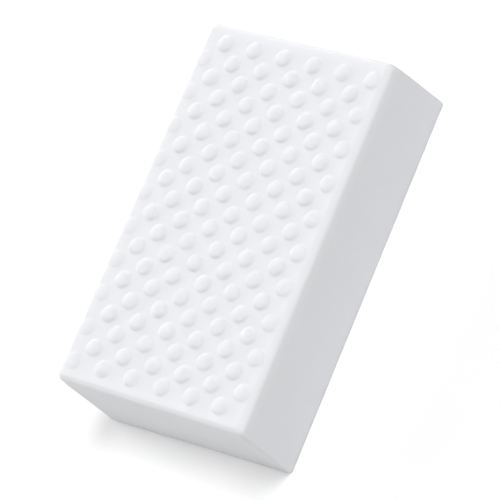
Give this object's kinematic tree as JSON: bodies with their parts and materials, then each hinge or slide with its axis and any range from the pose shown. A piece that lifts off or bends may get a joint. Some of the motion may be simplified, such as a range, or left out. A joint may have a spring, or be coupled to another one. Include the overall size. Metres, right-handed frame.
{
  "type": "cleaning sponge",
  "caption": "Rectangular block of white cleaning foam with rows of low round bumps on one broad face and softly rounded edges around that face.",
  "frame": {"origin": "middle of the plain broad face, which lies on the surface below", "axes": "+X across the width, +Y along the length, +Z through the thickness, out of the face with the bumps"},
  "size_m": [0.07, 0.12, 0.0323],
  "materials": {
    "foam": "matte, fine-pored white foam"
  },
  "bodies": {
    "root": {"sponge": "foam"}
  },
  "joints": []
}
